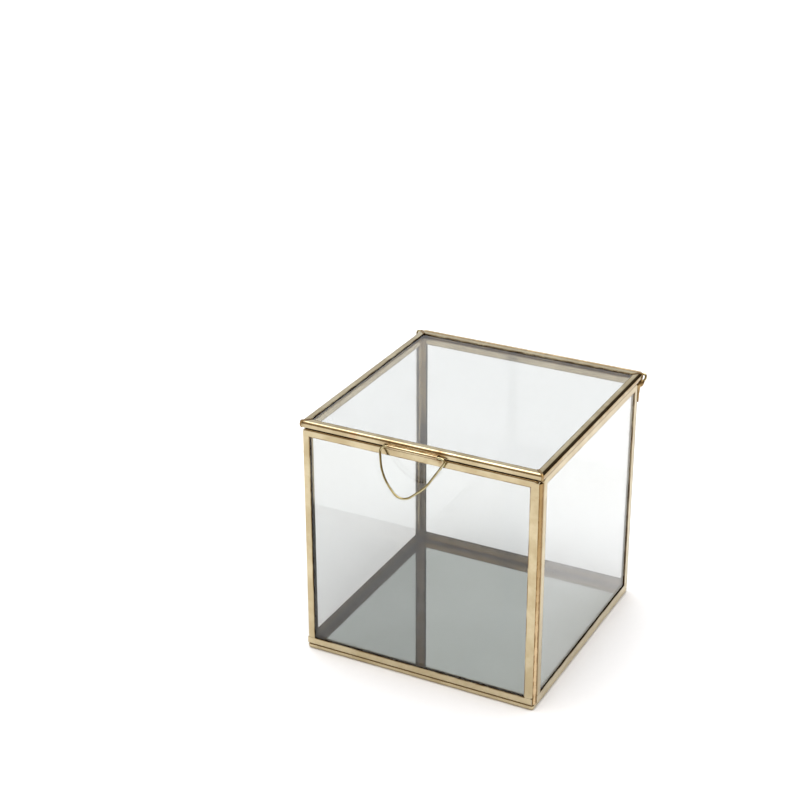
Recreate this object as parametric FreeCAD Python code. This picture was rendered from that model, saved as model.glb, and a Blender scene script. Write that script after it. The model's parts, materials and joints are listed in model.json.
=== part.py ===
"""Keepsake box of glass panes edged with folded brass channel, with a mirror base, a wire hinge and a wire pull.

Origin: middle of the footprint, on the table. +X is right, +Y is back, +Z is up. Millimetres.
"""
import FreeCAD
import Part
import math
import os

Vector = FreeCAD.Vector

# Walls, measured outside
wall_width = 98.6
wall_depth = 100.0
wall_height = 94.8
pane_setback = 1.0        # front and back panes stop this far short of the side panes' outer faces

# Base and lid, relative to the walls
base_inset = 0.5          # base edging inside the walls' outline, each side
lid_overhang = 0.3        # lid past the walls' outline, each side
lid_offset = 0.5          # lid stands this far right of the middle, within its end play on the hinge
lid_gap = 0.25            # open line between wall tops and lid

# Panes and their edging channel
glass_thickness = 2.0
mirror_thickness = 1.5
glass_clearance = 0.05    # between a pane and each leg of its channel
sheet_thickness = 0.35
edging_leg = 3.1          # width of the channel's legs on a pane's faces
bend_radius = 0.9         # outside radius of the channel's two bends
bend_limit = 0.48         # most of a channel's thickness that one bend takes
wall_fold = 0.8           # what a wall's folded corner adds to the bend radius
base_fold = 0.2           # what the base's folded corner adds to it
lid_fold = 0.4            # what the solder in the lid's corners adds to it, inside the channel
joint_gap = 0.1           # open line where two channel ends butt

# Solder
solder_film = 0.02        # between a round piece and what it is soldered to
seam_reach = 2.3          # vertical seams: along the end of the front or back pane
seam_width = 0.9          # vertical seams: across the edge of the side pane
seam_bulge = 0.2          # vertical seams: share by which the outer face swells away from the corner
mitre_solder_width = 0.9
mitre_solder_proud = 0.15
tube_solder_foot = 1.25   # tube fillets: height up the lid's edge, in tube radii
tube_solder_crest = 0.75  # tube fillets: height on the tube, in tube radii
tack_overlap = 0.3        # how far a solder blank reaches into its neighbours before it is trimmed to them
tail_solder_length = 4.0
tail_solder_radius = 0.75

# Hinge: a tube on the lid's back edge, turning on a wire that is soldered to the walls
running_clearance = 0.05  # radial, wire in tube
hinge_wire_diameter = 1.0
hinge_tube_wall = 0.35
hinge_tube_inset = 1.5    # tube ends inside the lid's sides
hinge_height = 1.7        # hinge axis above the lid's underside
hinge_end_clearance = 0.2
hinge_drop = 1.7          # wire drops this far outside the lid before it turns in to the corner
hinge_lean = 0.5          # and leans this far forward on the way
hinge_run_in = 2.4        # height over which it comes in to the corner groove
hinge_tail = 7.0
hinge_bend_radius = 0.8

# Pull: a tube on the lid's front edge that holds a bent wire loop
pull_offset = -1.2        # tube's middle, right of the walls' middle
pull_height = 0.6         # tube's axis above the lid's underside
pull_wire_diameter = 0.9
pull_tube_wall = 0.25
pull_tube_length = 20.5
pull_shoulder_left = 3.2  # from the tube's end to the corner of the loop's first bend
pull_shoulder_right = 3.85
pull_left_knee_out = 0.5  # left knee, outside the tube's end
pull_left_knee_drop = 10.9
pull_tip_left = 1.4       # tip's corner, left of the tube's middle
pull_tip_drop = 19.4
pull_right_knee_in = 2.85  # right knee, inside the tube's end
pull_right_knee_drop = 11.7
pull_left_radius = 2.0
pull_knee_radius = 18.0
pull_tip_radius = 5.5
pull_right_radius = 1.3
pull_end_gap = 0.6        # between the wire's two ends, inside the tube
pull_tilt = 20.0          # degrees that the loop stands out from hanging

# Flats round a wire's section
wire_flats = 12

# Sizes that follow
channel_walls = 2 * (glass_clearance + sheet_thickness)
edging_thickness = glass_thickness + channel_walls
base_thickness = mirror_thickness + channel_walls
front_width = wall_width - 2 * pane_setback
side_depth = wall_depth - 2 * edging_thickness
base_width = wall_width - 2 * base_inset
base_depth = wall_depth - 2 * base_inset
lid_width = wall_width + 2 * lid_overhang
lid_depth = wall_depth + 2 * lid_overhang
wall_top = base_thickness + wall_height
lid_bottom = wall_top + lid_gap
hinge_tube_radius = hinge_wire_diameter / 2 + running_clearance + hinge_tube_wall
hinge_tube_length = lid_width - 2 * hinge_tube_inset
hinge_y = lid_depth / 2 + solder_film + hinge_tube_radius
hinge_z = lid_bottom + hinge_height
pull_tube_radius = pull_wire_diameter / 2 + running_clearance + pull_tube_wall
pull_y = -lid_depth / 2 - solder_film - pull_tube_radius
pull_z = lid_bottom + pull_height


def bend_of(thickness):
    """Outside bend radius of a channel, kept under half of the channel's thickness."""
    return min(bend_radius, bend_limit * thickness)


def round_edges(shape, radius, chosen):
    """The shape with the edges that pass the test rounded, or unchanged for a radius of nothing."""
    if radius <= 0:
        return shape
    return shape.makeFillet(radius, [edge for edge in shape.Edges if chosen(edge.BoundBox)])


def block(width, height, low, high):
    """Plate centred on the local origin in x and y, from low to high in z."""
    return Part.makeBox(width, height, high - low, Vector(-width / 2, -height / 2, low))


def uprights(plate, low, high):
    """Edges of a plate that run from one face to the other."""
    return [edge for edge in plate.Edges if edge.BoundBox.ZLength > (high - low) / 2]


def rims(plate, low, high):
    """Edges round the two faces of a plate."""
    return [edge for edge in plate.Edges if edge.BoundBox.ZLength < (high - low) / 1000]


def rounded_plate(width, height, low, high, corner):
    """Plate with its four corners rounded."""
    plate = block(width, height, low, high)
    return plate.makeFillet(corner, uprights(plate, low, high))


def envelope(width, height, thickness, fold):
    """Outside of an edged pane, lying on the local z = 0 plane: corners folded round, then both rims bent."""
    bend = bend_of(thickness)
    plate = rounded_plate(width, height, 0, thickness, bend + fold)
    return plate.makeFillet(bend, rims(plate, 0, thickness))


def pane_space(width, height, thickness, fold):
    """Room inside a folded channel: the groove for the pane's edge, and the window between the legs."""
    low = sheet_thickness
    high = thickness - sheet_thickness
    inner_bend = bend_of(thickness) - sheet_thickness
    groove = rounded_plate(width - 2 * low, height - 2 * low, low, high, inner_bend + fold)
    groove = groove.makeChamfer(inner_bend, rims(groove, low, high))
    window = block(width - 2 * edging_leg, height - 2 * edging_leg, -thickness, 2 * thickness)
    return [groove, window]


def folded_edging(width, height, thickness, fold):
    """Channel folded round all four edges of a pane."""
    return envelope(width, height, thickness, fold).cut(pane_space(width, height, thickness, fold))


def channel_outside(length, thickness):
    """Bar with the outside of a straight channel: web at y = 0, legs towards +y, resting on z = 0."""
    bar = Part.makeBox(length, edging_leg, thickness, Vector(-length / 2, 0, 0))
    return round_edges(
        bar,
        bend_of(thickness),
        lambda box: box.XLength > length / 2 and box.YMax < edging_leg / 2,
    )


def channel(length, thickness):
    """Straight channel along x, folded from sheet."""
    groove = Part.makeBox(length, edging_leg, thickness - 2 * sheet_thickness)
    groove = round_edges(
        groove,
        max(bend_of(thickness) - sheet_thickness, 0),
        lambda box: box.XLength > length / 2 and box.YMax < edging_leg / 2,
    )
    groove.translate(Vector(-length / 2, sheet_thickness, sheet_thickness))
    return channel_outside(length, thickness).cut(groove)


def pane(width, height, pane_thickness, thickness, fold):
    """Sheet of glass that stops where the channel's bends start, its corners cut off to clear a fold."""
    inset = bend_of(thickness)
    low = (thickness - pane_thickness) / 2
    high = low + pane_thickness
    sheet = block(width - 2 * inset, height - 2 * inset, low, high)
    return sheet.makeChamfer(fold, uprights(sheet, low, high))


def wall_edging(width, height):
    """One channel folded over the top corners of a wall pane, its two ends butted on the sill."""
    cut_height = edging_leg + joint_gap
    below = Part.makeBox(width, cut_height, 3 * edging_thickness)
    below.translate(Vector(-width / 2, -height / 2, -edging_thickness))
    return folded_edging(width, height, edging_thickness, wall_fold).cut(below)


def wall_sill(width, height):
    """Separate channel along the bottom of a wall pane, cut square at both ends."""
    sill = channel(width, edging_thickness)
    sill.translate(Vector(0, -height / 2, 0))
    return sill


def placement(origin, x_axis, y_axis):
    """Placement that sends the local x and y axes along two row axes."""
    z_axis = x_axis.cross(y_axis)
    return FreeCAD.Placement(origin, FreeCAD.Rotation(x_axis, y_axis, z_axis, "ZXY"))


def placed(shape, where):
    """Copy of a shape, carried with its own placement to another one."""
    copy = shape.copy()
    copy.Placement = where.multiply(shape.Placement)
    return copy


def wall_places():
    """Each wall pane's name, width and placement: local z = 0 on its inner face, +z outwards."""
    middle = base_thickness + wall_height / 2
    front_y = wall_depth / 2 - edging_thickness
    side_x = wall_width / 2 - edging_thickness
    up = Vector(0, 0, 1)
    return {
        "front": (front_width, placement(Vector(0, -front_y, middle), Vector(1, 0, 0), up)),
        "back": (front_width, placement(Vector(0, front_y, middle), Vector(-1, 0, 0), up)),
        "left": (side_depth, placement(Vector(-side_x, 0, middle), Vector(0, -1, 0), up)),
        "right": (side_depth, placement(Vector(side_x, 0, middle), Vector(0, 1, 0), up)),
    }


def wall_nodes():
    """Glass, folded edging and sill of the four walls."""
    nodes = {}
    for name, (width, where) in wall_places().items():
        glass = pane(width, wall_height, glass_thickness, edging_thickness, wall_fold)
        nodes[f"{name}_glass"] = placed(glass, where)
        nodes[f"{name}_edging"] = placed(wall_edging(width, wall_height), where)
        nodes[f"{name}_sill"] = placed(wall_sill(width, wall_height), where)
    return nodes


def wall_outsides():
    """Outsides of the edged wall panes and of their square-cut sills, for trimming solder to them."""
    outsides = []
    for width, where in wall_places().values():
        sill = channel_outside(width, edging_thickness)
        sill.translate(Vector(0, -wall_height / 2, 0))
        outsides.append(placed(sill, where))
        outsides.append(placed(envelope(width, wall_height, edging_thickness, wall_fold), where))
    return outsides


def base_nodes():
    """Mirror, and the one strip folded round it, its ends meeting at the middle of the back."""
    edging = folded_edging(base_width, base_depth, base_thickness, base_fold)
    joint = block(joint_gap, 2 * edging_leg, -base_thickness, 2 * base_thickness)
    joint.translate(Vector(0, base_depth / 2, 0))
    mirror = pane(base_width, base_depth, mirror_thickness, base_thickness, base_fold)
    return {"base_edging": edging.cut(joint), "base_mirror": mirror}


def corner_groove(x_side, y_side):
    """Inner corner of a vertical groove: end of the front or back pane, and edge of the side pane."""
    return x_side * front_width / 2, y_side * side_depth / 2


def corner_seam(x_side, y_side, height):
    """Solder run in a corner groove, swelling on its outer face and trimmed to the two edgings it joins."""
    groove_x, groove_y = corner_groove(x_side, y_side)
    crevice = bend_of(edging_thickness) / 2
    deep = Vector(groove_x - x_side * crevice, groove_y - y_side * crevice, base_thickness)
    along = Vector(groove_x - x_side * tack_overlap, groove_y + y_side * seam_reach, base_thickness)
    across = Vector(groove_x + x_side * seam_width, groove_y - y_side * tack_overlap, base_thickness)
    crest = (along + across) * ((1 + seam_bulge) / 2) - deep * seam_bulge
    outline = Part.Wire([
        Part.LineSegment(deep, along).toShape(),
        Part.Arc(along, crest, across).toShape(),
        Part.LineSegment(across, deep).toShape(),
    ])
    return Part.Face(outline).extrude(Vector(0, 0, height)).cut(wall_outsides())


def seam_nodes():
    """The four vertical seams. The back ones stop under the hinge wire's tails."""
    full = wall_height - bend_of(edging_thickness) - wall_fold
    under_tail = hinge_tail_end() - base_thickness - joint_gap
    return {
        "corner_solder_front_left": corner_seam(-1, -1, full),
        "corner_solder_front_right": corner_seam(1, -1, full),
        "corner_solder_back_left": corner_seam(-1, 1, under_tail),
        "corner_solder_back_right": corner_seam(1, 1, under_tail),
    }


def lid_placement():
    """Lid's local frame: z = 0 on its underside."""
    return placement(Vector(lid_offset, 0, lid_bottom), Vector(1, 0, 0), Vector(0, 1, 0))


def mitred_channel(length):
    """Channel with both ends cut at 45 degrees, short of the corner by half of the solder's width."""
    short = mitre_solder_width / math.sqrt(2)
    outline = [
        Vector(-length / 2 + short, 0, 0),
        Vector(length / 2 - short, 0, 0),
        Vector(length / 2 - short - edging_leg, edging_leg, 0),
        Vector(-length / 2 + short + edging_leg, edging_leg, 0),
    ]
    keep = Part.Face(Part.makePolygon(outline + outline[:1])).extrude(Vector(0, 0, edging_thickness))
    return channel(length, edging_thickness).common(keep)


def mitre_solder():
    """Solder that fills the four mitres of the lid's edging, standing a little proud of its top and sides."""
    proud = mitre_solder_proud
    bend = bend_of(edging_thickness)
    high = edging_thickness + proud
    skin = rounded_plate(lid_width + 2 * proud, lid_depth + 2 * proud, 0, high, bend)
    skin = skin.makeChamfer(bend / 2, rims(skin, 0, high))
    skin = skin.cut(pane_space(lid_width, lid_depth, edging_thickness, lid_fold))
    beads = []
    for x_side in (-1, 1):
        for y_side in (-1, 1):
            cut = block(4 * edging_leg, mitre_solder_width, -edging_thickness, 2 * edging_thickness)
            cut.rotate(Vector(0, 0, 0), Vector(0, 0, 1), 45 * x_side * y_side)
            cut.translate(Vector(x_side * lid_width / 2, y_side * lid_depth / 2, 0))
            beads.append(skin.common(cut))
    return Part.makeCompound(beads)


def lid_nodes():
    """Lid pane, its four mitred channels and the solder in their corners."""
    lid = lid_placement()
    glass = pane(lid_width, lid_depth, glass_thickness, edging_thickness, lid_fold)
    nodes = {"lid_glass": placed(glass, lid)}
    sides = {
        "front": (lid_width, Vector(0, -lid_depth / 2, 0), 0),
        "right": (lid_depth, Vector(lid_width / 2, 0, 0), 90),
        "back": (lid_width, Vector(0, lid_depth / 2, 0), 180),
        "left": (lid_depth, Vector(-lid_width / 2, 0, 0), 270),
    }
    for name, (length, edge, turn) in sides.items():
        strip = mitred_channel(length)
        strip.Placement = FreeCAD.Placement(edge, FreeCAD.Rotation(Vector(0, 0, 1), turn))
        nodes[f"lid_edging_{name}"] = placed(strip, lid)
    nodes["lid_corner_solder"] = placed(mitre_solder(), lid)
    return nodes


def tube(radius, wall, length, middle):
    """Tube along x."""
    start = middle - Vector(length / 2, 0, 0)
    along = Vector(1, 0, 0)
    bore = Part.makeCylinder(radius - wall, length, start, along)
    return Part.makeCylinder(radius, length, start, along).cut(bore)


def tube_solder(radius, length, middle, edge_y, rise):
    """Solder between a tube and the lid's edge at edge_y, on the tube's upper or lower side (rise)."""
    inwards = math.copysign(tack_overlap, -edge_y)
    start_x = middle.x - length / 2
    outline = [
        Vector(start_x, edge_y + inwards, middle.z),
        Vector(start_x, edge_y + inwards, middle.z + rise * tube_solder_foot * radius),
        Vector(start_x, middle.y, middle.z + rise * tube_solder_crest * radius),
        Vector(start_x, middle.y, middle.z),
    ]
    blank = Part.Face(Part.makePolygon(outline + outline[:1])).extrude(Vector(length, 0, 0))
    lid = placed(lid_body(), lid_placement())
    rod = Part.makeCylinder(radius, length, Vector(start_x, middle.y, middle.z), Vector(1, 0, 0))
    return blank.cut([lid, rod])


def lid_body():
    """Outside of the lid's edging, with square corners."""
    plate = block(lid_width, lid_depth, 0, edging_thickness)
    return plate.makeFillet(bend_of(edging_thickness), rims(plate, 0, edging_thickness))


def bent_path(points, radii):
    """Straight runs through the points, with a tangent arc of the given radius at each corner between."""
    edges = []
    start = points[0]
    for before, corner, after, radius in zip(points, points[1:], points[2:], radii):
        back = (before - corner).normalize()
        ahead = (after - corner).normalize()
        half_angle = back.getAngle(ahead) / 2
        reach = radius / math.tan(half_angle)
        inside = (back + ahead).normalize()
        crown = corner + inside * (radius / math.sin(half_angle) - radius)
        edges.append(Part.LineSegment(start, corner + back * reach).toShape())
        edges.append(Part.Arc(corner + back * reach, crown, corner + ahead * reach).toShape())
        start = corner + ahead * reach
    edges.append(Part.LineSegment(start, points[-1]).toShape())
    return Part.Wire(edges)


def round_wire(points, radii, diameter):
    """Wire bent along a path, its round section drawn with flats."""
    along = (points[1] - points[0]).normalize()
    side = along.cross(Vector(0, 1, 0) if abs(along.z) > abs(along.y) else Vector(0, 0, 1)).normalize()
    turn = FreeCAD.Rotation(along, 360 / wire_flats)
    corners = [points[0] + side * (diameter / 2)]
    for _ in range(wire_flats):
        corners.append(points[0] + turn.multVec(corners[-1] - points[0]))
    section = Part.makePolygon(corners[:-1] + corners[:1])
    return bent_path(points, radii).makePipe(Part.Face(section))


def hinge_tail_top():
    """Height where the hinge wire reaches the corner groove."""
    return hinge_z - hinge_drop - hinge_run_in


def hinge_tail_end():
    """Height of the hinge wire's ends."""
    return hinge_tail_top() - hinge_tail


def hinge_tail_place(x_side):
    """Where the hinge wire lies in a back corner groove, against the end of the back pane."""
    groove_x, _ = corner_groove(x_side, 1)
    seat = hinge_wire_diameter / 2 + solder_film
    return groove_x + x_side * seat, wall_depth / 2 - edging_thickness / 2


def hinge_wire():
    """Wire along the hinge axis, dropping outside the lid at both ends and turning in to the corner grooves."""
    lid_reach = lid_width / 2 + abs(lid_offset) + mitre_solder_proud
    shoulder = lid_reach + hinge_end_clearance + hinge_wire_diameter / 2
    half = {}
    for x_side in (-1, 1):
        tail_x, tail_y = hinge_tail_place(x_side)
        half[x_side] = [
            Vector(x_side * shoulder, hinge_y, hinge_z),
            Vector(x_side * shoulder, hinge_y - hinge_lean, hinge_z - hinge_drop),
            Vector(tail_x, tail_y, hinge_tail_top()),
            Vector(tail_x, tail_y, hinge_tail_end()),
        ]
    points = half[-1][::-1] + half[1]
    return round_wire(points, [hinge_bend_radius] * (len(points) - 2), hinge_wire_diameter)


def hinge_wire_solder(wire):
    """Solder round the hinge wire's two tails, trimmed to the wire and to the walls' edging."""
    lumps = []
    for x_side in (-1, 1):
        tail_x, tail_y = hinge_tail_place(x_side)
        start = Vector(tail_x, tail_y, hinge_tail_end())
        lump = Part.makeCylinder(tail_solder_radius, tail_solder_length, start)
        lumps.append(lump.cut(wall_outsides() + [wire]))
    return Part.makeCompound(lumps)


def hinge_nodes():
    """Hinge tube on the lid, hinge wire on the walls, and the solder that holds each."""
    middle = Vector(lid_offset, hinge_y, hinge_z)
    back = lid_depth / 2
    fillets = [tube_solder(hinge_tube_radius, hinge_tube_length, middle, back, rise) for rise in (-1, 1)]
    wire = hinge_wire()
    return {
        "hinge_tube": tube(hinge_tube_radius, hinge_tube_wall, hinge_tube_length, middle),
        "hinge_tube_solder": Part.makeCompound(fillets),
        "hinge_wire": wire,
        "hinge_wire_solder": hinge_wire_solder(wire),
    }


def pull_loop():
    """Loop of wire: out of the tube's left end, round two knees and the tip, and back into its right end."""
    half = pull_tube_length / 2
    flat = [
        (-pull_end_gap / 2, 0),
        (-half - pull_shoulder_left, 0),
        (-half - pull_left_knee_out, pull_left_knee_drop),
        (-pull_tip_left, pull_tip_drop),
        (half - pull_right_knee_in, pull_right_knee_drop),
        (half + pull_shoulder_right, 0),
        (pull_end_gap / 2, 0),
    ]
    points = [Vector(pull_offset + x, pull_y, pull_z - drop) for x, drop in flat]
    radii = [pull_left_radius, pull_knee_radius, pull_tip_radius, pull_knee_radius, pull_right_radius]
    loop = round_wire(points, radii, pull_wire_diameter)
    loop.rotate(Vector(pull_offset, pull_y, pull_z), Vector(-1, 0, 0), pull_tilt)
    return loop


def pull_nodes():
    """Pull tube on the lid's front edge, its solder, and the loop that swings in it."""
    middle = Vector(pull_offset, pull_y, pull_z)
    front = -lid_depth / 2
    return {
        "pull_tube": tube(pull_tube_radius, pull_tube_wall, pull_tube_length, middle),
        "pull_tube_solder": tube_solder(pull_tube_radius, pull_tube_length, middle, front, 1),
        "pull_wire": pull_loop(),
    }


def main():
    """Build every piece and write one STEP file for each."""
    os.makedirs("parts", exist_ok=True)
    nodes = {}
    for group in (base_nodes, wall_nodes, seam_nodes, lid_nodes, hinge_nodes, pull_nodes):
        nodes.update(group())
    for name, shape in nodes.items():
        shape.exportStep(f"parts/{name}.step")
        print(f"{name}: {len(shape.Solids)} solids, {shape.Volume:.1f} mm3, valid {shape.isValid()}")


main()
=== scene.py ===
"""Looks of a keepsake box: glass panes in folded brass channel, mirror base, wire hinge and wire pull."""
import json
import math

import bpy
import numpy as np
from mathutils import Matrix, Vector


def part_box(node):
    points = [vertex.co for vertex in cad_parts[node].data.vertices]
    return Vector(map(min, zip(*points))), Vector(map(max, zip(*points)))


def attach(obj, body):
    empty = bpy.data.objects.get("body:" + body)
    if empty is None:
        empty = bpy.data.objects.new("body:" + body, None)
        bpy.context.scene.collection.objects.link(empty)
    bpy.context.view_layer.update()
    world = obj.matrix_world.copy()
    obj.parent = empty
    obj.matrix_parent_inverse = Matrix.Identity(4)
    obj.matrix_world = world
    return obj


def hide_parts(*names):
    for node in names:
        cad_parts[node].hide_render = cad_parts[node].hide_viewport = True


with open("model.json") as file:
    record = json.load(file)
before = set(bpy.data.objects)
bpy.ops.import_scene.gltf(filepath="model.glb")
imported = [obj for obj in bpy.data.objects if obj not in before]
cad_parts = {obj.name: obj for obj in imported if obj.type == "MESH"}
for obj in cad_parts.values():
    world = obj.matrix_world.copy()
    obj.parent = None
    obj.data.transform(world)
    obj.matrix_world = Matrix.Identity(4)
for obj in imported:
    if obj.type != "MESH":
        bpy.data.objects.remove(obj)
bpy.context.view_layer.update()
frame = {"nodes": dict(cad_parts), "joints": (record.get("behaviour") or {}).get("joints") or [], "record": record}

MM = 0.001

# Camera of the photograph: where it stands, which way it looks and its lens
camera_place = (0.26143, -0.56313, 0.38286)
camera_azimuth = 27.585      # degrees round from the front, towards the right
camera_elevation = 24.638    # degrees that it looks down
camera_roll = -0.251
camera_lens = 79.418         # millimetres, as is the sensor's width
camera_sensor = 36.0
camera_clip = 0.01

# Floor, in metres, and light of the studio
floor_radius = 4.0
floor_sides = 96
floor_tone = 0.92
floor_grain = 0.02           # how much darker the grain is
dim_azimuth = 63.3           # degrees round from the front, towards the right: middle of the dim side
dim_rim = (-0.66, -0.42)     # where the dim side begins, as the cosine from its middle
dark_levels = (0.42, 0.06)   # light from the dim side, in front and behind
dark_turn = (-0.4, 0.4)      # where the one goes over to the other, as the share towards the back
dim_colour = (1.0, 0.8, 0.58)
lit_colour = (0.97, 1.0, 1.045)
horizon_level = 0.5          # light from low on the bright side
back_level = 0.92            # light from above the horizon
horizon_rise = (0.0, 0.4)    # where the one goes over to the other, as the sine of the height
overhead_level = 3.5         # what the ceiling adds
ceiling_rim = (0.76, 0.92)   # where the ceiling begins, as the sine of the height

# Channel and hinge, in metres: the solids' own sizes, apart from the upper fold of the lid's channel
edging_leg = 3.1 * MM
sheet_thickness = 0.35 * MM
rail_top_bend = 1.3 * MM     # the lid's worn upper fold, rounder than its lower one
rail_foot_bend = 0.9 * MM
bend_steps = 13
mitre_gap = 0.05 * MM
sharp_angle = 40.0           # degrees between faces past which an edge stays sharp
wire_sides = 24
hinge_wire_radius = 0.5 * MM
hinge_drop = 1.7 * MM
hinge_lean = 0.5 * MM
hinge_run_in = 2.4 * MM
hinge_bend = 0.8 * MM
hinge_steps = (0.1 * MM, 0.25 * MM)    # spacing of points round the bends, and of rings along the wire
solder_film = 0.02 * MM
lump_reach = 0.8             # share of the hinge wire's run-in that its solder covers
lump_skin = 0.01 * MM
lump_swell = 0.62 * MM
lump_steps = (0.1 * MM, 0.15 * MM)

# Loop of the pull, in metres: how far past the tube's ends, and down from its axis
pull_wire_radius = 0.45 * MM
pull_tilt = 20.0             # degrees out from hanging straight down
pull_end_gap = 0.3 * MM      # from the tube's middle to an end of the wire
pull_left_shoulder = 3.2 * MM
pull_right_shoulder = 3.85 * MM
pull_left_knee = (0.5 * MM, 10.9 * MM)
pull_right_knee = (-2.85 * MM, 11.7 * MM)
pull_tip = (-1.4 * MM, 19.4 * MM)      # right of the tube's middle, and down
pull_shoulder_bends = (2.0 * MM, 1.3 * MM)
pull_knee_bend = 18.0 * MM
pull_tip_bend = 5.5 * MM
pull_steps = (0.2 * MM, 0.3 * MM)

# Stains and painted shade, in metres
# Painted shade along the inner edges of the channel's legs, where the far leg lies in shadow behind the glass
rim_shade_line = 0.45 * MM         # brown line along the channel's free edges
# Painted shadow in the gap where one channel lies on another
seat_shadow_line = 0.5 * MM         # brown line where one channel lies on another
pull_stain = 5.0 * MM        # heat marks round the ends of the pull's tube
corner_stain = 3.0 * MM
copper_stain = 2.6 * MM
copper_place = (-26.0 * MM, 0.8 * MM)  # right of the middle, and above the pull's axis
# Brown behind the pull's tube; the brown on the lid's right web is painted shade, standing in for the dark
# reflection of the dim right side
web_brown_reach = (2.0 * MM, 1.5 * MM)       # how far past the pull's tube the web is brown, sideways and inwards
right_web_shade = (0.6 * MM, 0.2 * MM)       # where the brown of the lid's right web begins, and is full
seam_middle = 1.1 * MM       # how much farther a seam's middle lies from the front or back than from the side
seam_half_width = 1.5 * MM
seam_heights = (75.0 * MM, 15.0 * MM)  # where a seam begins to pale, and is palest
mitre_half_width = 0.7 * MM

# Depths of bumps, in metres
sheet_waves = 0.04 * MM
sheet_grain = 0.003 * MM
seam_lumps = 0.06 * MM
stained_lumps = 0.08 * MM
wire_grain = 0.01 * MM

# Colours, in linear light
brass_pale = (0.56, 0.475, 0.31)
brass_deep = (0.45, 0.365, 0.22)
freckle_brown = (0.27, 0.18, 0.08)
# Painted shade: the dark line along the inner edges of the channel's legs
rim_shade_brown = (0.15, 0.085, 0.03)
# Painted shadow in the gaps under the lid and under the walls
seat_shadow_brown = (0.13, 0.07, 0.02)
# Brown behind the pull's tube, and painted shade on the lid's right web
web_brown_and_shade = (0.33, 0.22, 0.10)
pull_left_brown = (0.17, 0.09, 0.025)
pull_right_brown = (0.20, 0.105, 0.03)
corner_brown = (0.10, 0.06, 0.025)
bare_copper = (0.52, 0.30, 0.17)
seam_dark_tan = (0.34, 0.222, 0.095)
seam_pale_tan = (0.64, 0.475, 0.28)
# Darker colour along both sides of a seam's bead
seam_dark_sides = (0.21, 0.125, 0.042)
solder_tan = (0.36, 0.25, 0.12)
solder_brown = (0.17, 0.10, 0.035)
wire_pale = (0.46, 0.41, 0.245)
wire_deep = (0.33, 0.27, 0.13)
glass_grey = (0.80, 0.81, 0.804)
glass_speck = (0.25, 0.24, 0.22)
silver_pale = (0.595, 0.618, 0.568)
silver_deep = (0.56, 0.583, 0.533)
mirror_speck = (0.2, 0.2, 0.19)

wall_frame = ("left_edging", "right_edging", "front_edging", "back_edging")
lid_frame = ("lid_edging_left", "lid_edging_right", "lid_edging_front", "lid_edging_back")
joint_place = {joint["name"]: np.array(joint["pos_m"]) for joint in frame["joints"]}
rightwards = np.array([1.0, 0.0, 0.0])
backwards = np.array([0.0, 1.0, 0.0])


def named_material(name):
    """New node material with its Principled shader and the object's own coordinates."""
    material = bpy.data.materials.new(name)
    material.use_nodes = True
    tree = material.node_tree
    shader = tree.nodes["Principled BSDF"]
    place = tree.nodes.new("ShaderNodeTexCoord").outputs["Object"]
    return material, tree, shader, place


def join(tree, value, socket):
    """Link an output to a socket, or set a plain value on it."""
    if isinstance(value, bpy.types.NodeSocket):
        tree.links.new(value, socket)
    else:
        socket.default_value = value


def noise(tree, place, scale, detail=3.0, roughness=0.5):
    """Noise in the object's coordinates, as a factor."""
    texture = tree.nodes.new("ShaderNodeTexNoise")
    tree.links.new(place, texture.inputs["Vector"])
    texture.inputs["Scale"].default_value = scale
    texture.inputs["Detail"].default_value = detail
    texture.inputs["Roughness"].default_value = roughness
    return texture.outputs["Fac"]


def remap(tree, value, low, high, to_low=0.0, to_high=1.0):
    """Smooth step of a value from one range to another."""
    step = tree.nodes.new("ShaderNodeMapRange")
    step.interpolation_type = "SMOOTHSTEP"
    for name, number in (
        ("Value", value), ("From Min", low), ("From Max", high), ("To Min", to_low), ("To Max", to_high),
    ):
        join(tree, number, step.inputs[name])
    return step.outputs["Result"]


def combine(tree, first, second=0.0, operation="ADD"):
    """Arithmetic on two factors."""
    math_node = tree.nodes.new("ShaderNodeMath")
    math_node.operation = operation
    join(tree, first, math_node.inputs[0])
    join(tree, second, math_node.inputs[1])
    return math_node.outputs[0]


def mix_colours(tree, factor, first, second):
    """Colour between two colours or colour outputs."""
    mix = tree.nodes.new("ShaderNodeMix")
    mix.data_type = "RGBA"
    join(tree, factor, mix.inputs[0])
    for value, socket in ((first, mix.inputs[6]), (second, mix.inputs[7])):
        join(tree, (*value, 1.0) if isinstance(value, tuple) else value, socket)
    return mix.outputs[2]


def bump(tree, height, distance, under=None):
    """Bumped normal from a height factor, with the height's full range as a distance in metres."""
    node = tree.nodes.new("ShaderNodeBump")
    node.inputs["Strength"].default_value = 1.0
    node.inputs["Distance"].default_value = distance
    tree.links.new(height, node.inputs["Height"])
    if under is not None:
        tree.links.new(under, node.inputs["Normal"])
    return node.outputs["Normal"]


def axes_of(tree, place):
    """The three coordinates, each as a factor."""
    split = tree.nodes.new("ShaderNodeSeparateXYZ")
    tree.links.new(place, split.inputs["Vector"])
    return split.outputs


def off_middle(tree, value, low, high):
    """Distance from the middle of a span."""
    return combine(tree, combine(tree, value, (low + high) / 2, "SUBTRACT"), operation="ABSOLUTE")


def past_span(tree, value, low, high):
    """How far a value lies past the nearer end of a span. It is below nothing inside the span."""
    return combine(tree, off_middle(tree, value, low, high), (high - low) / 2, "SUBTRACT")


def near_place(tree, place, middle, reach):
    """One at a place, falling to nothing at some reach from it."""
    apart = tree.nodes.new("ShaderNodeVectorMath")
    apart.operation = "DISTANCE"
    tree.links.new(place, apart.inputs[0])
    apart.inputs[1].default_value = middle
    return remap(tree, apart.outputs["Value"], reach, reach * 0.3)


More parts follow.
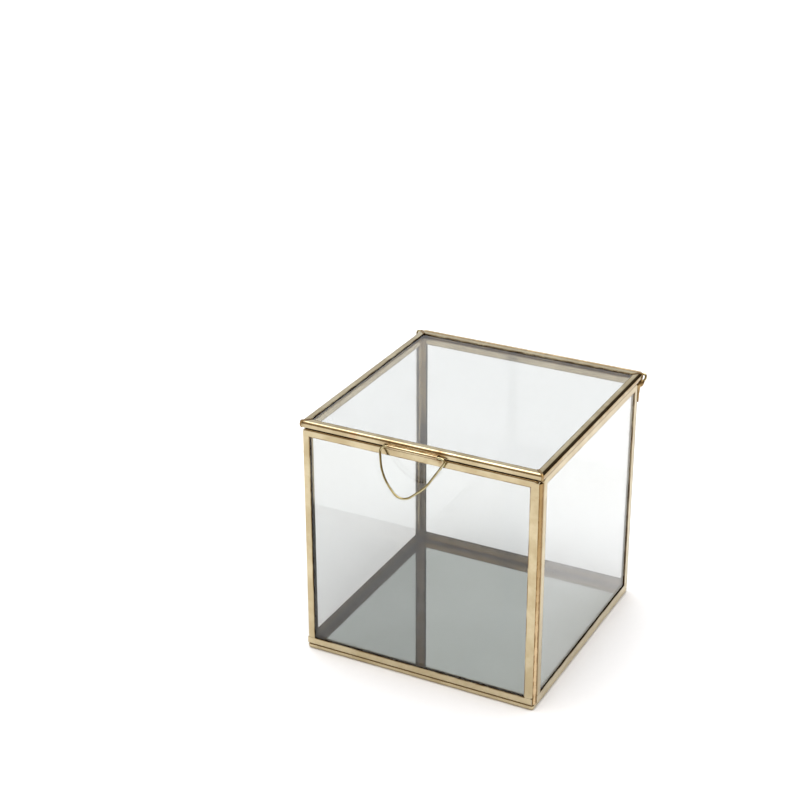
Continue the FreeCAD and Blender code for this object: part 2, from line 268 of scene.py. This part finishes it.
def specks(tree, place, scale, rarity, size):
    """Rare round specks: one in a few of the cells of a cell pattern."""
    cells = tree.nodes.new("ShaderNodeTexVoronoi")
    cells.inputs["Scale"].default_value = scale
    tree.links.new(place, cells.inputs["Vector"])
    split = tree.nodes.new("ShaderNodeSeparateColor")
    tree.links.new(cells.outputs["Color"], split.inputs["Color"])
    chosen = remap(tree, split.outputs["Red"], rarity, rarity + 0.01)
    near = remap(tree, cells.outputs["Distance"], size, size * 0.4)
    return combine(tree, chosen, near, "MULTIPLY")


def span(*names):
    """Lowest and highest corner of several nodes together."""
    corners = [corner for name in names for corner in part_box(name)]
    return np.min(corners, axis=0), np.max(corners, axis=0)


def opening(axes, *names):
    """Where a framed pane is open: along each axis, the frame's span less the channel's legs."""
    low, high = span(*names)
    return [(axis, low[axis] + edging_leg, high[axis] - edging_leg) for axis in axes]


def seat_heights():
    """Heights where channels lie on each other: base under walls, walls under lid."""
    base_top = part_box("base_edging")[1].z
    wall_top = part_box("front_edging")[1].z
    lid_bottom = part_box("lid_edging_front")[0].z
    return base_top, (wall_top + lid_bottom) / 2


def brown_and_shaded_webs(tree, axes, patchy, colour):
    """Brown on the lid's web behind the pull's tube, and painted shade along its right side, over a colour."""
    low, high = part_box("pull_tube")
    half = (high.x - low.x) / 2
    lid_right = span(*lid_frame)[1][0]
    sideways, inwards = web_brown_reach
    behind = remap(tree, off_middle(tree, axes[0], low.x, high.x), half + sideways, half)
    behind = combine(tree, behind, remap(tree, axes[1], high.y + inwards, high.y), "MULTIPLY")
    # Painted shade on the lid's right web, which faces the dim side
    right = remap(tree, axes[0], *(lid_right - inset for inset in right_web_shade))
    webs = combine(tree, behind, right, "MAXIMUM")
    webs = combine(tree, webs, remap(tree, patchy, 0.0, 1.0, 0.4, 0.8), "MULTIPLY")
    return mix_colours(tree, webs, colour, web_brown_and_shade)


def heat_marks(tree, place, patchy, colour):
    """Marks of both ends of the pull's tube, of a lid corner, and a bare copper patch, over a colour."""
    low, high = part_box("pull_tube")
    lid_low, lid_high = span(*lid_frame)
    axis = joint_place["pull_swing"]
    for middle, reach, strength, stain in (
        ((low.x, axis[1], axis[2]), pull_stain, 0.8, pull_left_brown),
        ((high.x, axis[1], axis[2]), pull_stain, 0.8, pull_right_brown),
        ((lid_low[0], lid_low[1], lid_high[2]), corner_stain, 0.85, corner_brown),
        ((copper_place[0], lid_low[1], axis[2] + copper_place[1]), copper_stain, 0.6, bare_copper),
    ):
        mark = near_place(tree, place, middle, reach)
        mark = combine(tree, mark, remap(tree, patchy, 0.0, 1.0, 0.3, 1.0), "MULTIPLY")
        colour = mix_colours(tree, combine(tree, mark, strength, "MULTIPLY"), colour, stain)
    return colour


def brass_finish(name, open_spans, on_lid=False):
    """Old pale brass sheet: soft mottling, brown freckles, painted shade as brown lines along the channel's free
    edges and where one channel lies on another, heat marks round the pull, faint waves and a fine grain."""
    material, tree, shader, place = named_material(name)
    axes = axes_of(tree, place)
    cloud = noise(tree, place, 90.0, 4.0, 0.6)
    freckle = noise(tree, place, 900.0, 3.0, 0.6)
    patchy = remap(tree, noise(tree, place, 170.0, 3.0, 0.6), 0.38, 0.62)

    clean = mix_colours(tree, remap(tree, cloud, 0.35, 0.65), brass_pale, brass_deep)
    colour = mix_colours(tree, remap(tree, freckle, 0.60, 0.78, 0.0, 0.45), clean, freckle_brown)

    # Painted shade: brown line along the free edges, at the rim of the opening, where the far leg lies in shadow
    # behind the glass
    edges = [past_span(tree, axes[axis], low, high) for axis, low, high in open_spans]
    rim = remap(tree, combine(tree, *edges, "MAXIMUM"), rim_shade_line, rim_shade_line * 0.2)
    rim = combine(tree, rim, remap(tree, patchy, 0.0, 1.0, 0.25, 0.9), "MULTIPLY")
    colour = mix_colours(tree, rim, colour, rim_shade_brown)

    # Painted shadow in the gaps where lid and walls, and walls and base, lie on each other
    for height in seat_heights():
        seat = remap(tree, off_middle(tree, axes[2], height, height), seat_shadow_line, seat_shadow_line * 0.4)
        colour = mix_colours(tree, combine(tree, seat, 0.85, "MULTIPLY"), colour, seat_shadow_brown)

    # Brown behind the pull's tube, and painted shade on the lid's right web
    if on_lid:
        colour = brown_and_shaded_webs(tree, axes, patchy, colour)
    colour = heat_marks(tree, place, patchy, colour)

    tree.links.new(colour, shader.inputs["Base Color"])
    shader.inputs["Metallic"].default_value = 1.0
    tree.links.new(remap(tree, freckle, 0.3, 0.8, 0.09, 0.22), shader.inputs["Roughness"])
    waves = bump(tree, noise(tree, place, 120.0, 2.0), sheet_waves)
    tree.links.new(bump(tree, freckle, sheet_grain, waves), shader.inputs["Normal"])
    return material


def solder_finish(name, frame_nodes, middle, half_width):
    """Brown solder in the corners of a frame: tan along the middle of each seam, darker along both sides, with a
    lumpy skin. A point's place across a seam is its distance from the frame's front or back less that from its
    side."""
    material, tree, shader, place = named_material(name)
    axes = axes_of(tree, place)
    low, high = span(*frame_nodes)
    across = [past_span(tree, axes[axis], low[axis], high[axis]) for axis in (0, 1)]
    apart = off_middle(tree, combine(tree, *across, "SUBTRACT"), middle, middle)
    cloud = noise(tree, place, 260.0, 4.0, 0.6)
    wander = combine(tree, combine(tree, cloud, 0.5, "SUBTRACT"), half_width * 1.2, "MULTIPLY")
    side = remap(tree, combine(tree, apart, wander), half_width * 0.35, half_width * 0.65)
    bead = mix_colours(tree, remap(tree, axes[2], *seam_heights), seam_dark_tan, seam_pale_tan)
    # Darker along both sides of the seam
    colour = mix_colours(tree, combine(tree, side, 0.95, "MULTIPLY"), bead, seam_dark_sides)
    tree.links.new(colour, shader.inputs["Base Color"])
    shader.inputs["Metallic"].default_value = 1.0
    tree.links.new(remap(tree, cloud, 0.3, 0.7, 0.18, 0.38), shader.inputs["Roughness"])
    tree.links.new(bump(tree, noise(tree, place, 500.0, 3.0), seam_lumps), shader.inputs["Normal"])
    return material


def stained_solder_finish():
    """Solder of the tubes and wire tails: stained brown, dull, with a lumpy skin."""
    material, tree, shader, place = named_material("stained_solder")
    cloud = noise(tree, place, 300.0, 4.0, 0.6)
    colour = mix_colours(tree, remap(tree, cloud, 0.35, 0.65), solder_tan, solder_brown)
    tree.links.new(colour, shader.inputs["Base Color"])
    shader.inputs["Metallic"].default_value = 1.0
    tree.links.new(remap(tree, cloud, 0.3, 0.7, 0.2, 0.4), shader.inputs["Roughness"])
    tree.links.new(bump(tree, noise(tree, place, 600.0, 3.0), stained_lumps), shader.inputs["Normal"])
    return material


def wire_finish():
    """Drawn brass wire: paler and greener than the sheet, a little dull."""
    material, tree, shader, place = named_material("drawn_wire")
    cloud = noise(tree, place, 300.0, 3.0, 0.6)
    colour = mix_colours(tree, remap(tree, cloud, 0.35, 0.7), wire_pale, wire_deep)
    tree.links.new(colour, shader.inputs["Base Color"])
    shader.inputs["Metallic"].default_value = 1.0
    tree.links.new(remap(tree, cloud, 0.3, 0.7, 0.12, 0.26), shader.inputs["Roughness"])
    tree.links.new(bump(tree, noise(tree, place, 1500.0, 2.0), wire_grain), shader.inputs["Normal"])
    return material


def glass_finish():
    """Clear float glass, faintly grey, with a few dark specks."""
    material, tree, shader, place = named_material("clear_glass")
    dust = specks(tree, place, 110.0, 0.9, 0.03)
    tree.links.new(mix_colours(tree, dust, glass_grey, glass_speck), shader.inputs["Base Color"])
    shader.inputs["Roughness"].default_value = 0.0
    shader.inputs["IOR"].default_value = 1.5
    shader.inputs["Transmission Weight"].default_value = 1.0
    return material


def mirror_finish():
    """Silvered glass: grey-green, very smooth, with a little dust."""
    material, tree, shader, place = named_material("old_mirror")
    dust = specks(tree, place, 150.0, 0.8, 0.03)
    cloud = noise(tree, place, 25.0, 3.0)
    silver = mix_colours(tree, remap(tree, cloud, 0.3, 0.7), silver_pale, silver_deep)
    tree.links.new(mix_colours(tree, dust, silver, mirror_speck), shader.inputs["Base Color"])
    shader.inputs["Metallic"].default_value = 1.0
    tree.links.new(remap(tree, cloud, 0.3, 0.7, 0.008, 0.02), shader.inputs["Roughness"])
    return material


def bent_line(corners, radii, spacing):
    """Points along straight runs joined by tangent arcs. Each corner's arc turns from one run's direction
    to the next round a centre that lies on the corner's bisector."""
    corners = np.asarray(corners, float)
    stretches = [corners[:1]]
    for before, corner, after, radius in zip(corners, corners[1:], corners[2:], radii):
        back = (before - corner) / np.linalg.norm(before - corner)
        ahead = (after - corner) / np.linalg.norm(after - corner)
        half_angle = math.acos(np.clip(back @ ahead, -1, 1)) / 2
        bisector = (back + ahead) / np.linalg.norm(back + ahead)
        centre = corner + bisector * radius / math.sin(half_angle)
        start = corner + back * radius / math.tan(half_angle) - centre
        turn = math.pi - 2 * half_angle
        across = -back * radius
        angle = np.linspace(0, turn, max(3, math.ceil(radius * turn / spacing)))[:, None]
        stretches.append(centre + start * np.cos(angle) + across * np.sin(angle))
    stretches.append(corners[-1:])
    return np.concatenate(stretches)


def wire_path(corners, radii, arc_step, ring_step):
    """Line with rounded corners, with points at an even spacing along it."""
    points = bent_line(corners, radii, arc_step)
    steps = np.linalg.norm(np.diff(points, axis=0), axis=1)
    along = np.concatenate([[0.0], np.cumsum(steps)])
    places = np.linspace(0, along[-1], math.ceil(along[-1] / ring_step) + 1)
    return np.stack([np.interp(places, along, points[:, axis]) for axis in range(3)], axis=1)


def new_piece(name, corners, faces, material, body, slot):
    """Smooth-shaded mesh piece that rides on a body and takes the finish it is given."""
    mesh = bpy.data.meshes.new(name)
    mesh.from_pydata(corners.tolist(), [], faces)
    mesh.update()
    mesh.shade_smooth()
    mesh.materials.append(material)
    piece = bpy.data.objects.new(name, mesh)
    bpy.context.scene.collection.objects.link(piece)
    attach(piece, body)
    return piece


def tube_faces(rings, sides):
    """Quads between neighbouring rings of a closed tube, and one flat face at each end."""
    ring, side = np.meshgrid(np.arange(rings - 1), np.arange(sides), indexing="ij")
    first = ring * sides + side
    second = ring * sides + (side + 1) % sides
    quads = np.stack([first, second, second + sides, first + sides], axis=-1).reshape(-1, 4)
    ends = [list(range(sides))[::-1], list(range((rings - 1) * sides, rings * sides))]
    return quads.tolist() + ends


def round_wire(path, radius, reference):
    """Round section carried along a path: at each point a circle in the plane across the path, turned so
    that it starts on the side of a reference direction. The radius may change along the path and round it."""
    tangent = np.gradient(path, axis=0)
    tangent /= np.linalg.norm(tangent, axis=1, keepdims=True)
    side = reference - tangent * (tangent @ reference)[:, None]
    side /= np.linalg.norm(side, axis=1, keepdims=True)
    other = np.cross(tangent, side)
    angle = np.linspace(0, 2 * math.pi, wire_sides, endpoint=False)
    circle = np.cos(angle)[None, :, None] * side[:, None] + np.sin(angle)[None, :, None] * other[:, None]
    corners = path[:, None] + np.broadcast_to(radius, (len(path), wire_sides))[:, :, None] * circle
    return corners.reshape(-1, 3), tube_faces(len(path), wire_sides)


def channel_profile(top, bottom):
    """Outline of a U of sheet, in distances in from its outer face and in heights: out along the top leg,
    round a quarter circle, down the web, round a quarter circle and in along the lower leg, then back the
    same way at the sheet's thickness."""
    angle = np.linspace(0, math.pi / 2, bend_steps)
    sweep = np.stack([np.sin(angle), np.cos(angle)], axis=1)
    skins = []
    for depth in (0.0, sheet_thickness):
        upper = (rail_top_bend, top - rail_top_bend) + (rail_top_bend - depth) * sweep * (-1, 1)
        lower = (rail_foot_bend, bottom + rail_foot_bend) - (rail_foot_bend - depth) * sweep[:, ::-1]
        rims = [(edging_leg, top - depth)], [(edging_leg, bottom + depth)]
        skins.append(np.concatenate([rims[0], upper, lower, rims[1]]))
    outer, inner = skins
    return np.concatenate([outer, inner[::-1]])


def lid_rails(material):
    """Folded channel on the lid's front and sides. Each point of the profile is carried along one side of
    the lid's outline, moved in by the point's distance from the outer face, so that the ends are mitred."""
    low, high = span(*lid_frame)
    profile = channel_profile(high[2], low[2])
    inset, heights = profile[:, :1], profile[:, 1:]
    left, right = low[0] + inset, high[0] - inset
    front, back = low[1] + inset, high[1] - inset
    ends = [
        np.concatenate([x, y, heights], axis=1)
        for x, y in ((left, back), (left, front), (right, front), (right, back))
    ]
    for name, start, end in zip(("left", "front", "right"), ends, ends[1:]):
        gap = mitre_gap * (end - start)[0] / np.linalg.norm((end - start)[0])
        rings = np.concatenate([start + gap, end - gap])
        piece = new_piece(f"lid_rail_{name}", rings, tube_faces(2, len(profile)), material, "lid", "brass")
        piece.data.set_sharp_from_angle(angle=math.radians(sharp_angle))
        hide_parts(f"lid_edging_{name}")


def pull_wire(material):
    """Hand-bent loop: out of the tube's left end, round two knees and the tip, back into its right end. The
    line through its corners is laid flat, in distances right of the tube's middle and down from it, then
    tilted out, and a circle is carried along it."""
    low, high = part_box("pull_tube")
    half = (high.x - low.x) / 2
    flat = np.array([
        (-pull_end_gap, 0.0),
        (-half - pull_left_shoulder, 0.0),
        (-half - pull_left_knee[0], pull_left_knee[1]),
        pull_tip,
        (half + pull_right_knee[0], pull_right_knee[1]),
        (half + pull_right_shoulder, 0.0),
        (pull_end_gap, 0.0),
    ])
    left_bend, right_bend = pull_shoulder_bends
    radii = [left_bend, pull_knee_bend, pull_tip_bend, pull_knee_bend, right_bend]
    tilt = math.radians(pull_tilt)
    down = np.array([0.0, -math.sin(tilt), -math.cos(tilt)])
    corners = joint_place["pull_swing"] + flat[:, :1] * rightwards + flat[:, 1:] * down
    path = wire_path(corners, radii, *pull_steps)
    mesh = round_wire(path, pull_wire_radius, np.cross(rightwards, down))
    piece = new_piece("pull_loop", *mesh, material, "pull", "brass")
    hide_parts("pull_wire")


def hinge_corners(side):
    """Corners of the hinge wire at one end: outer bend, lower bend, and the top and end of its tail."""
    low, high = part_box("hinge_wire")
    axis = joint_place["lid_hinge"]
    shoulder = (high.x - low.x) / 2 - hinge_wire_radius
    tail_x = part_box("back_edging")[1].x + hinge_wire_radius + solder_film
    tail_y = low.y + hinge_wire_radius
    return [
        (side * shoulder, axis[1], axis[2]),
        (side * shoulder, axis[1] - hinge_lean, axis[2] - hinge_drop),
        (side * tail_x, tail_y, axis[2] - hinge_drop - hinge_run_in),
        (side * tail_x, tail_y, low.z),
    ]


def hinge_wire(material):
    """Wire through the hinge tube, dropping outside the lid at both ends and turning in to the corner
    grooves: a circle carried along the line through both ends' corners."""
    corners = hinge_corners(-1)[::-1] + hinge_corners(1)
    path = wire_path(corners, [hinge_bend] * (len(corners) - 2), *hinge_steps)
    mesh = round_wire(path, hinge_wire_radius, backwards)
    piece = new_piece("hinge_rod", *mesh, material, "box", "brass")
    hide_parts("hinge_wire")


def hinge_solder(material):
    """Lumps that hold the hinge wire's tails. Each is a round section along the tail and the run-in above
    it. Its radius swells towards the middle of its length and is uneven by a few sine waves along it and
    round it."""
    pieces = []
    for side, name in ((-1, "left"), (1, "right")):
        _, bend, tail_top, tail_end = np.array(hinge_corners(side))
        upper = tail_top + (bend - tail_top) * lump_reach
        path = wire_path([upper, tail_top, tail_end], [hinge_bend], *lump_steps)
        along = np.linspace(0, 1, len(path))[:, None]
        round_it = np.linspace(0, 2 * math.pi, wire_sides, endpoint=False)[None, :]
        swell = np.sin(math.pi * along ** 0.4) ** 3 + 0.15 * np.sin(math.pi * along)
        uneven = 1 + 0.12 * np.sin(3 * round_it + 9 * along + side) + 0.1 * np.sin(21 * along + 2 * round_it)
        radius = hinge_wire_radius + lump_skin + lump_swell * swell * uneven
        mesh = round_wire(path, radius, backwards)
        pieces.append(new_piece(f"hinge_lump_{name}", *mesh, material, "box", "solder"))
    for piece in pieces:
        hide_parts("hinge_wire_solder")


def world_light():
    """Soft studio: a bright ceiling, paler light from the back and left, and a dim, warm side on the right
    and in front."""
    world = bpy.data.worlds.new("studio")
    bpy.context.scene.world = world
    world.use_nodes = True
    tree = world.node_tree
    direction = tree.nodes.new("ShaderNodeTexCoord").outputs["Generated"]
    _, backward, height = axes_of(tree, direction)
    towards = tree.nodes.new("ShaderNodeVectorMath")
    towards.operation = "DOT_PRODUCT"
    tree.links.new(direction, towards.inputs[0])
    azimuth = math.radians(dim_azimuth)
    towards.inputs[1].default_value = (math.sin(azimuth), -math.cos(azimuth), 0.0)
    dim_side = remap(tree, towards.outputs["Value"], *dim_rim)
    lit_level = remap(tree, height, *horizon_rise, horizon_level, back_level)
    dark_level = remap(tree, backward, *dark_turn, *dark_levels)
    dim_level = remap(tree, height, *ceiling_rim, dark_level, back_level)
    level = tree.nodes.new("ShaderNodeMix")
    tree.links.new(dim_side, level.inputs[0])
    tree.links.new(lit_level, level.inputs[2])
    tree.links.new(dim_level, level.inputs[3])
    overhead = remap(tree, height, *ceiling_rim, 0.0, overhead_level)
    warm = combine(tree, dim_side, remap(tree, height, *ceiling_rim), "SUBTRACT")
    background = tree.nodes["Background"]
    tree.links.new(mix_colours(tree, warm, lit_colour, dim_colour), background.inputs["Color"])
    tree.links.new(combine(tree, level.outputs[0], overhead), background.inputs["Strength"])


def studio_floor():
    """Round pale floor that the box stands on: one flat face inside a circle."""
    angle = np.linspace(0, 2 * math.pi, floor_sides, endpoint=False)
    rim = np.stack([np.cos(angle), np.sin(angle), np.zeros_like(angle)], axis=1) * floor_radius
    mesh = bpy.data.meshes.new("floor")
    mesh.from_pydata(rim.tolist(), [], [list(range(len(rim)))])
    material, tree, shader, place = named_material("pale_floor")
    grain = noise(tree, place, 400.0, 3.0)
    tone = (floor_tone,) * 3
    worn = (floor_tone - floor_grain,) * 3
    tree.links.new(mix_colours(tree, grain, tone, worn), shader.inputs["Base Color"])
    shader.inputs["Roughness"].default_value = 0.9
    shader.inputs["Specular IOR Level"].default_value = 0.0
    mesh.materials.append(material)
    floor = bpy.data.objects.new("floor", mesh)
    bpy.context.scene.collection.objects.link(floor)


def photo_camera():
    """Camera at the photograph's place, turned by azimuth, elevation and roll."""
    data = bpy.data.cameras.new("camera")
    data.lens = camera_lens
    data.sensor_width = camera_sensor
    data.clip_start = camera_clip
    camera = bpy.data.objects.new("camera", data)
    bpy.context.scene.collection.objects.link(camera)
    turn = (
        Matrix.Rotation(math.radians(camera_azimuth), 4, "Z")
        @ Matrix.Rotation(math.radians(90 - camera_elevation), 4, "X")
        @ Matrix.Rotation(math.radians(camera_roll), 4, "Z")
    )
    camera.matrix_world = Matrix.Translation(Vector(camera_place)) @ turn
    bpy.context.scene.camera = camera


def finishes_by_name():
    """Finish for each slot and first word of a node's name."""
    faces = brass_finish("brass_front_back", opening((0, 2), "front_edging", "front_sill"))
    sides = brass_finish("brass_sides", opening((1, 2), "left_edging", "left_sill"))
    lid = brass_finish("brass_lid", opening((0, 1), *lid_frame), on_lid=True)
    tubes = brass_finish("brass_tubes", opening((0, 1), *lid_frame))
    base = brass_finish("brass_base", opening((0, 1), "base_edging"))
    seams = solder_finish("solder_walls", wall_frame, seam_middle, seam_half_width)
    mitres = solder_finish("solder_lid", lid_frame, 0.0, mitre_half_width)
    stained = stained_solder_finish()
    wire = wire_finish()
    return {
        "brass": {
            "front": faces, "back": faces, "left": sides, "right": sides, "lid": lid, "base": base,
            "hinge": tubes, "pull": tubes, "wire": wire,
        },
        "solder": {"corner": seams, "lid": mitres, "hinge": stained, "pull": stained},
        "glass": glass_finish(),
        "mirror": mirror_finish(),
    }


def dress_nodes(finishes):
    """Give every CAD node the finish of its slot and place."""
    for part in frame["record"]["subparts"]:
        finish = finishes[part["material_slot"]]
        if isinstance(finish, dict):
            finish = finish[part["node"].split("_")[0]]
        for slot in frame["nodes"][part["node"]].material_slots:
            slot.material = finish


finishes = finishes_by_name()
dress_nodes(finishes)
lid_rails(finishes["brass"]["lid"])
pull_wire(finishes["brass"]["wire"])
hinge_wire(finishes["brass"]["wire"])
hinge_solder(finishes["solder"]["hinge"])
world_light()
studio_floor()
photo_camera()
bpy.context.scene.view_settings.view_transform = "Standard"
